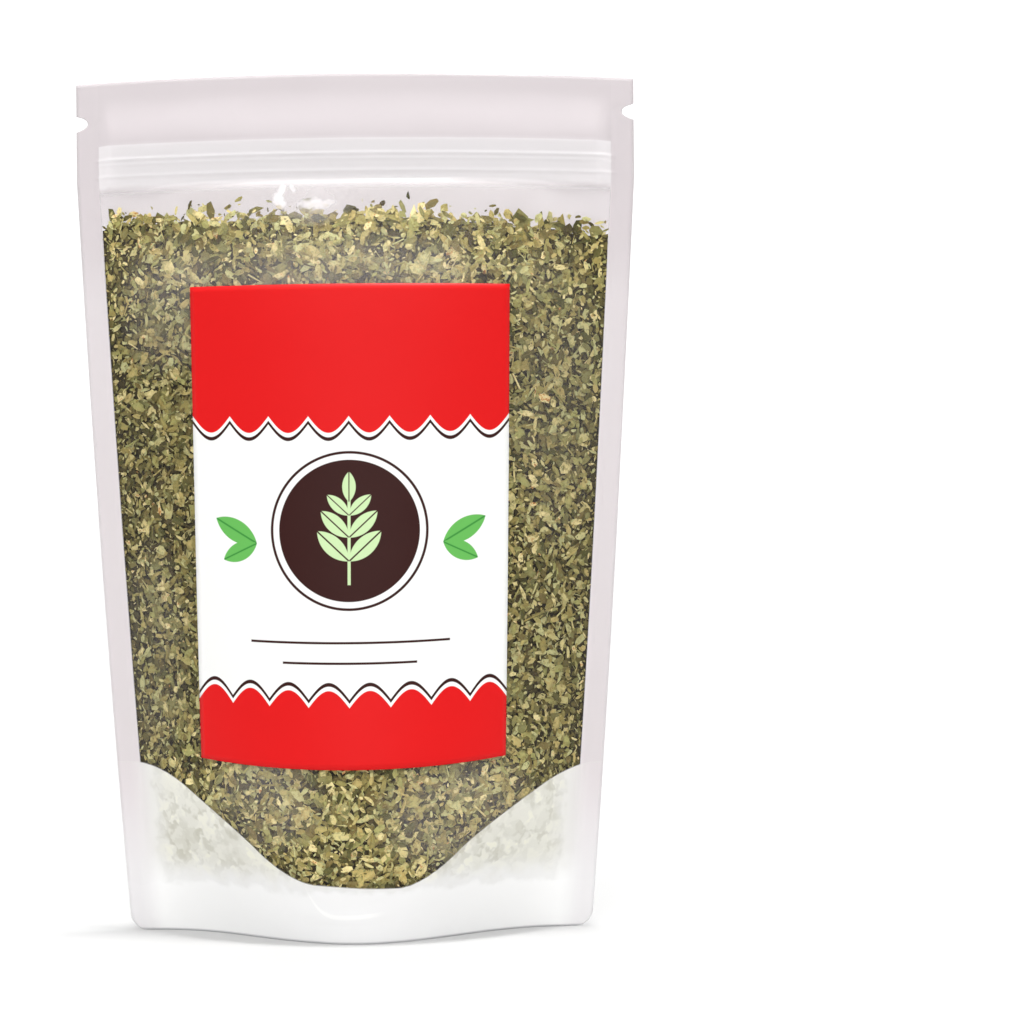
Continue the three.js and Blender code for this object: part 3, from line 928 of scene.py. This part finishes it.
# %% Leaf and stem finishes
# Painted shade: the heart's tones and the edges of its cells are darker than the flakes, for leaf deep in
# the heap.
HEART_GAP_SHADE = srgb(38, 31, 14)
HEART_SHADED_TONES = [(0.0, (50, 42, 18)), (0.5, (82, 74, 36)), (1.0, (122, 112, 62))]
LEAF_TONES = [
    (0.0, (64, 52, 26)),
    (0.1, (80, 80, 38)),
    (0.2, (116, 100, 54)),
    (0.32, (128, 127, 78)),
    (0.44, (152, 136, 76)),
    (0.56, (158, 156, 95)),
    (0.67, (184, 164, 102)),
    (0.78, (184, 183, 130)),
    (0.9, (206, 190, 130)),
    (0.955, (228, 214, 158)),
    (0.975, (192, 138, 74)),
    (1.0, (144, 92, 54)),
]


def leaf_with_painted_light(start, colour, place):
    """Painted light: the leaf's colour is lifted near the top and near the foot, where real leaf catches
    more light.
    """
    height = start.add("ShaderNodeSeparateXYZ", None, {0: place}, "Z") * (1 / MM)
    light = 1.14 + 0.3 * height.step(175.0, 205.0) + 0.36 * (1 - height.step(25.0, 80.0))
    return start.add("ShaderNodeHueSaturation", None, {"Value": light, "Color": colour})


def leaf_finish(name, tones, darkest):
    material, start = new_material(name)
    place = object_place(start)
    tint = start.add("ShaderNodeAttribute", {"attribute_name": "tint"}, out="Fac")
    mottle = fractal(start, place, 900, 3, 0.6)
    tone = start.add("ShaderNodeValToRGB", {"stops": tones}, {"Fac": 0.96 * tint + 0.2 * (mottle - 0.5)})
    colour = mottle.step(0.2, 0.5).between(darkest, tone)
    return finish_leaf(start, material, colour, place, mottle)


def finish_leaf(start, material, colour, place, relief):
    bump = start.add("ShaderNodeBump", None, {"Strength": 0.4, "Distance": 0.3 * MM, "Height": relief})
    principled(start, leaf_with_painted_light(start, colour, place), 0.75, 0.25, Normal=bump).to_output()
    return material


def heart_finish():
    """Cells the size of flakes, with dark edges: painted shade for what shows deep in the gaps."""
    material, start = new_material("heart_finish")
    place = object_place(start)
    layout = {"Vector": place, "Scale": 420.0}
    cell = start.add("ShaderNodeTexVoronoi", None, layout, "Color")
    edge = start.add("ShaderNodeTexVoronoi", {"feature": "DISTANCE_TO_EDGE"}, layout)
    tint = start.add("ShaderNodeSeparateColor", None, {0: cell})
    tone = start.add("ShaderNodeValToRGB", {"stops": HEART_SHADED_TONES}, {"Fac": tint})
    colour = edge.step(0.02, 0.16).between(HEART_GAP_SHADE, tone)
    return finish_leaf(start, material, colour, place, edge)


leaf_skin = leaf_finish("leaf_finish", LEAF_TONES, srgb(100, 88, 44))
STEM_TONES = [(0.0, (150, 128, 78)), (0.6, (190, 170, 116)), (1.0, (206, 190, 142))]
stem_skin = leaf_finish("stem_finish", STEM_TONES, srgb(140, 116, 70))
heart_skin = heart_finish()
print("leaf, stem and heart finishes made")

# %% [markdown]
# A flake starts as a flat double cone: a ring of corners with one point above and one below, which makes
# a closed thin body of fourteen or sixteen triangles. Its corners are pulled in and out to look torn, and
# it is curled and folded.

# %% Flake and stem shapes
rng = random.Random(7)
LEAF_KINDS = 20


def leaf_flake(name):
    corners = rng.choice((6, 7, 8))
    slim = rng.uniform(0.3, 0.75)
    curl = rng.uniform(-0.5, 0.5)
    fold = rng.uniform(-0.5, 0.5)
    bm = bmesh.new()
    size = {"radius1": 0.5, "radius2": 0, "depth": 0.06}
    bmesh.ops.create_cone(bm, cap_ends=True, cap_tris=True, segments=corners, **size)
    for vert in bm.verts:
        if vert.co.xy.length > 0.1:
            ragged = rng.uniform(0.52, 1.12)
            vert.co.x *= ragged
            vert.co.y *= ragged * slim
            vert.co.z = rng.uniform(-0.05, 0.05)
        vert.co.z += curl * vert.co.x**2 + fold * abs(vert.co.y)
    top = max(vert.co.z for vert in bm.verts)
    bmesh.ops.translate(bm, verts=bm.verts[:], vec=(0, 0, -top))
    bmesh.ops.recalc_face_normals(bm, faces=bm.faces[:])
    return mesh_object(name, bm, leaf_skin, smooth=False)


def stem_piece(name):
    bm = bmesh.new()
    bmesh.ops.create_cone(bm, cap_ends=True, segments=5, radius1=0.06, radius2=0.045, depth=1.0)
    bmesh.ops.rotate(bm, verts=bm.verts[:], matrix=Matrix.Rotation(math.pi / 2, 3, "Y"))
    return mesh_object(name, bm, stem_skin, smooth=False)


flake_shelf = bpy.data.collections.new("flake_shelf")
shapes = [leaf_flake(f"flake_{index:02d}") for index in range(LEAF_KINDS)]
shapes.append(stem_piece("stem_00"))
for shape in shapes:
    flake_shelf.objects.link(shape)
    bpy.context.collection.objects.unlink(shape)
print(len(shapes), "shapes to scatter")

# %% [markdown]
# Geometry Nodes scatters the shapes. Points are spread over a bed, which is a copy of the film's inner
# face, and each gets one shape, turned to lie against the film with a random lean. A leaning flake is
# moved inwards by the height of its raised corner, so that it touches the film and doesn't poke through.


# %% Flakes for Geometry Nodes
def draw(start, seed, low=0.0, high=1.0):
    return start.add("FunctionNodeRandomValue", None, {2: low, 3: high, 8: seed}, 1)


def carried(start, name):
    """A value that the bed's mesh carries."""
    return start.add("GeometryNodeInputNamedAttribute", {"data_type": "FLOAT"}, {"Name": name})


def flake_pose(start, sizes, lean, behind, seed):
    """A random size, turn and depth for every flake. Most are small, and large ones lie flatter."""
    luck = draw(start, seed + 1)
    loose = carried(start, "loose")
    most = 2 * carried(start, "reach") + 0.8 * MM
    size = (sizes[0] + (sizes[1] - sizes[0]) * luck**4).lowest(most)
    flat = (1 - 0.75 * luck) * loose
    lean_x = draw(start, seed + 2, -lean, lean) * flat
    lean_y = draw(start, seed + 3, -lean, lean) * flat
    spin = draw(start, seed + 4, 0.0, 2 * math.pi)
    turn = start.add("ShaderNodeCombineXYZ", None, {0: lean_x, 1: lean_y, 2: spin})
    body = start.add("ShaderNodeCombineXYZ", None, {0: size, 1: size, 2: size * loose})
    sink = 0.5 * size * (abs(lean_x) + abs(lean_y)) + carried(start, "inset") + behind * loose
    return body, turn, sink


def flakes_on(start, points, pose, seed):
    """One shape of the shelf on every point, turned and moved behind the film."""
    body, turn, sink = pose
    push = {"Vector": points.sibling("Normal"), "Scale": sink * -1}
    pushed = start.add("ShaderNodeVectorMath", {"operation": "SCALE"}, push)
    use = {"Collection": flake_shelf, "Separate Children": True, "Reset Children": True}
    leaned = start.add("FunctionNodeEulerToRotation", None, {0: turn})
    spun = {"Rotation": points.sibling("Rotation"), "Rotate By": leaned}
    kinds = {4: 0, 5: len(shapes) - 1, 8: seed}
    placing = {
        "Points": start.add("GeometryNodeSetPosition", None, {"Geometry": points, "Offset": pushed}),
        "Instance": start.add("GeometryNodeCollectionInfo", None, use),
        "Pick Instance": True,
        "Instance Index": start.add("FunctionNodeRandomValue", {"data_type": "INT"}, kinds, 2),
        "Rotation": start.add("FunctionNodeRotateRotation", {"rotation_space": "LOCAL"}, spun),
        "Scale": body,
    }
    return start.add("GeometryNodeInstanceOnPoints", None, placing)


print("flake poses ready")

# %% [markdown]
# The tree is short: spread the points, put flakes on them, give each its tint, and make the copies real.
# The result is read back as a plain mesh, with its two finishes in a fixed order.


# %% Scatter tree
def scatter_tree(spacing, sizes, lean, behind, seed):
    tree = bpy.data.node_groups.new("scatter", "GeometryNodeTree")
    for way in ("INPUT", "OUTPUT"):
        tree.interface.new_socket("Geometry", in_out=way, socket_type="NodeSocketGeometry")
    start = Wire(tree)
    spread = {
        "Mesh": start.add("NodeGroupInput"),
        "Distance Min": spacing,
        "Density Max": 2 / spacing**2,
        "Density Factor": carried(start, "cover"),
        "Seed": seed,
    }
    points = start.add("GeometryNodeDistributePointsOnFaces", {"distribute_method": "POISSON"}, spread)
    flakes = flakes_on(start, points, flake_pose(start, sizes, lean, behind, seed), seed + 5)
    each = {"data_type": "FLOAT", "domain": "INSTANCE"}
    tint = {"Geometry": flakes, "Name": "tint", "Value": draw(start, seed + 6)}
    tinted = start.add("GeometryNodeStoreNamedAttribute", each, tint)
    real = start.add("GeometryNodeRealizeInstances", None, {"Geometry": tinted})
    start.add("NodeGroupOutput", None, {0: real})
    return tree


def scattered(bed, spacing, sizes, lean, behind, seed):
    """Scatters flakes over a bed and returns them as one plain mesh."""
    spread = bed.modifiers.new("scatter", "NODES")
    spread.node_group = scatter_tree(spacing, sizes, lean, behind, seed)
    depsgraph = bpy.context.evaluated_depsgraph_get()
    filled = bed.evaluated_get(depsgraph)
    mesh = bpy.data.meshes.new_from_object(filled, preserve_all_data_layers=True, depsgraph=depsgraph)
    bed.modifiers.remove(spread)
    finishes = [leaf_skin, stem_skin]
    order = np.array([finishes.index(material) for material in mesh.materials])
    used = np.zeros(len(mesh.polygons), np.int32)
    mesh.polygons.foreach_get("material_index", used)
    mesh.polygons.foreach_set("material_index", order[used].astype(np.int32))
    mesh.materials.clear()
    for material in finishes:
        mesh.materials.append(material)
    return mesh


print("scatter ready")

# %% [markdown]
# The bed says where leaf may lie: up to the crest, thinning out above it, not under the label, and in the
# corners of the base only as far down as the base film leaves room.

# %% Leaf beds
BED_COLUMNS, BED_ROWS = 100, 160
LABEL_TUCK = 4.0 * MM  # leaf reaches this far behind the label's edge
LABEL_COVER = 44.0 * MM  # half the width behind it that needs no leaf
LEAST_ROOM = 0.03 * MM
CREST_RAGGED = 2.0 * MM
CORNER_SHARE = 0.8  # how far down towards the keel the leaf shows in the corners of the base
LOWEST_LEAF = 14.0 * MM
FREE_ROOM = 2.5 * MM  # with less room than this between film and middle plane, flakes lie flatter
LEAF_LAYERS = [  # spacing, smallest and largest flake, distance behind the film, in mm, and lean in radians
    (2.2, 4.0, 9.0, 1.2, 0.25),
    (1.9, 2.5, 7.0, 0.5, 0.4),
    (1.3, 1.2, 6.5, 0.0, 0.5),
]


def behind_label(x, z):
    if not LABEL_BOTTOM + LABEL_SAG + LABEL_TUCK < z < LABEL_TOP - LABEL_TUCK:
        return False
    return abs(x - LABEL_MIDDLE) < LABEL_COVER


def ragged_crest(x, side):
    """The crest as single flakes make it: uneven by a few millimetres."""
    place = Vector((x / (5 * MM), 4.0 * side, 0.5))
    return crest_height(x) + CREST_RAGGED * (noise.noise(place) + 0.6 * noise.noise(3 * place))


def leaf_cover(x, z, side):
    if room_inside(x, z) < LEAST_ROOM or (side < 0 and behind_label(x, z)):
        return 0.0
    rim, keel = rim_height(x), keel_height(x)
    if z < rim - CORNER_SHARE * (rim - keel) or z < LOWEST_LEAF:
        return 0.0
    above = (z - ragged_crest(x, side)) / MM
    return float(np.interp(above, [0, 1, 3, 5, 9], [1, 0.5, 0.08, 0.012, 0]))


def leaf_bed(name, side):
    bm = flat_grid(BED_COLUMNS, BED_ROWS)
    layers = bm.verts.layers.float
    cover, inset, loose, reach = [layers.new(key) for key in ("cover", "inset", "loose", "reach")]
    for vert in bm.verts:
        z = lerp(3 * MM, FILL_TOP + 11 * MM, vert.co.y + 0.5)
        x = 2 * vert.co.x * (half_chord(z) - 0.1 * MM)
        vert[cover] = leaf_cover(x, z, side)
        vert[inset] = depth(x, z) - room_inside(x, z)
        vert[reach] = half_chord(z) - abs(x)
        vert[loose] = max(0.06, smooth(0, FREE_ROOM, depth(x, z)))
        vert.co = film_point(x, z, side, wrinkle(x, z, side))
    if side > 0:
        bmesh.ops.reverse_faces(bm, faces=bm.faces[:])
    return mesh_object(name, bm)


def leaf_piece(name, side, thinning):
    """All flakes against one panel, as one mesh."""
    bed = leaf_bed(f"{name}_bed", side)
    bm = bmesh.new()
    for seed, (spacing, smallest, largest, behind, lean) in enumerate(LEAF_LAYERS):
        sizes = (smallest * MM, largest * MM)
        gap = thinning * spacing * MM
        layer = scattered(bed, gap, sizes, lean, behind * MM, 50 * seed + 11 - side)
        bm.from_mesh(layer)
        bpy.data.meshes.remove(layer)
    bpy.data.objects.remove(bed)
    return mesh_object(name, bm, leaf_skin, stem_skin, smooth=False)


leaf_pieces = [leaf_piece("front_leaf", -1, 1.0), leaf_piece("back_leaf", 1, 1.3)]

# %% [markdown]
# The heart of the heap is a cube with many cells on each face. Every corner of it goes where the formulas
# put the outside of the heap, a little inside the flakes.

# %% Heart of the heap
HEART_CUTS = 31
HEART_INSET = 2.2 * MM
HEART_FLOOR = 3.4 * MM
HEART_BELOW_CREST = 1.2 * MM


def heart_half_width(z):
    low, high = 0.0, half_chord(z)
    for _ in range(24):
        tried = (low + high) / 2
        if depth(tried, z) > LEAST_ROOM:
            low = tried
        else:
            high = tried
    return low


def heart_point(across, through, up):
    """A point of the heart. Across and through run from -1 to 1, up from 0 to 1."""
    z = lerp(HEART_FLOOR, FILL_TOP, up)
    for _ in range(4):
        x = heart_half_width(z) * lerp(across, math.sin(across * math.pi / 2), 0.5)
        foot = min(keel_height(x) + HEART_FLOOR, rim_height(x) - 2 * MM)
        z = lerp(foot, crest_height(x) - HEART_BELOW_CREST, up)
    room = room_inside(x, z)
    thick = max(0.1 * MM, room - min(HEART_INSET, 0.55 * room))
    return Vector((x, middle(x, z) + through * thick, z))


def heart_piece():
    bm = bmesh.new()
    bmesh.ops.create_cube(bm, size=2)
    bmesh.ops.subdivide_edges(bm, edges=bm.edges[:], cuts=HEART_CUTS, use_grid_fill=True)
    for vert in bm.verts:
        vert.co = heart_point(vert.co.x, vert.co.y, 0.5 + 0.5 * vert.co.z)
    bmesh.ops.recalc_face_normals(bm, faces=bm.faces[:])
    return mesh_object("leaf_heart", bm, heart_skin)


leaf_heart = heart_piece()
for piece in (leaf_heart, *leaf_pieces):
    settle(piece, "leaf", "dried_basil")
for shape in shapes:
    bpy.data.objects.remove(shape)
bpy.data.collections.remove(flake_shelf)

# %% [markdown]
# ## Floor, light and camera
#
# The pouch stands on a white table. The sky is bright behind it and darker behind the camera, so the film
# doesn't mirror a white room and turn grey. The table's own tone is a middle grey that the light lifts
# just past white, so only the shade at the foot shows on it.

# %% Floor and sky
bm = bmesh.new()
bmesh.ops.create_grid(bm, x_segments=8, y_segments=8, size=40.0)
floor_skin, floor_start = new_material("floor_finish")
FLOOR_TONES = [(0.56, 0.56, 0.56, 1), (0.57, 0.57, 0.57, 1)]
floor_tone = fractal(floor_start, object_place(floor_start), 3, 2).between(*FLOOR_TONES)
principled(floor_start, floor_tone, 0.9, 0.0).to_output()
floor = mesh_object("floor", bm, floor_skin)

world = bpy.data.worlds.new("studio")
world.use_nodes = True
world.node_tree.nodes.clear()
sky = Wire(world.node_tree)
direction = sky.add("ShaderNodeTexCoord", out="Generated")
heading = sky.add("ShaderNodeSeparateXYZ", None, {0: direction}, "Y")
bright = 0.42 + 0.72 * heading.step(-0.7, 0.15)
glow = sky.add("ShaderNodeBackground", None, {"Color": (1, 1, 1, 1), "Strength": bright})
sky.add("ShaderNodeOutputWorld", None, {"Surface": glow})
bpy.context.scene.world = world
bpy.context.scene.view_settings.view_transform = "Standard"
print("floor and sky ready")

# %% [markdown]
# A broad sun in front lights the label and the leaf evenly. A steep one, almost overhead, draws the
# shadow where the pouch touches the table. A small lamp above lights the ridges along the zip, whose
# bright lines are also painted.


# %% Lamps
def add_lamp(name, kind, place, aim, power, **settings):
    lamp = bpy.data.lights.new(name, kind)
    lamp.energy = power
    for key, value in settings.items():
        setattr(lamp, key, value)
    holder = bpy.data.objects.new(name, lamp)
    holder.location = place
    holder.rotation_euler = (Vector(aim) - Vector(place)).to_track_quat("-Z", "Y").to_euler()
    bpy.context.collection.objects.link(holder)
    return holder


add_lamp("window_light", "SUN", (0.0, -1.0, 0.65), (0, 0, 0), 1.27, angle=0.9)
add_lamp("steep_light", "SUN", (0.06, 0.0, 1.0), (0, 0, 0), 2.3, angle=0.15)
add_lamp("overhead", "AREA", (-0.1, -0.35, 1.1), (0, 0, 0.2), 1.5, shape="DISK", size=0.5)
print(len(bpy.data.lights), "lamps")

# %% [markdown]
# The camera looks at the front from arm's length with a long lens, nearly level and turned by half a
# degree. Its axes are worked out first and go into its matrix as columns.

# %% Camera
CAMERA_PLACE = Vector((46.95, -800.0, 130.0)) * MM
CAMERA_PITCH = 0.0044
CAMERA_ROLL = 0.0092
CAMERA_LENS = 92.13
ahead = Vector((0, math.cos(CAMERA_PITCH), -math.sin(CAMERA_PITCH)))
level = Vector((1, 0, 0))
upright = level.cross(ahead)
right = level * math.cos(CAMERA_ROLL) - upright * math.sin(CAMERA_ROLL)
up = level * math.sin(CAMERA_ROLL) + upright * math.cos(CAMERA_ROLL)
lens = bpy.data.cameras.new("camera")
lens.lens = CAMERA_LENS
lens.sensor_width = 36.0
camera = bpy.data.objects.new("camera", lens)
turned = Matrix((right, up, -ahead)).transposed().to_4x4()
camera.matrix_world = Matrix.Translation(CAMERA_PLACE) @ turned
bpy.context.collection.objects.link(camera)
bpy.context.scene.camera = camera
print("camera at", [round(value, 3) for value in camera.location])
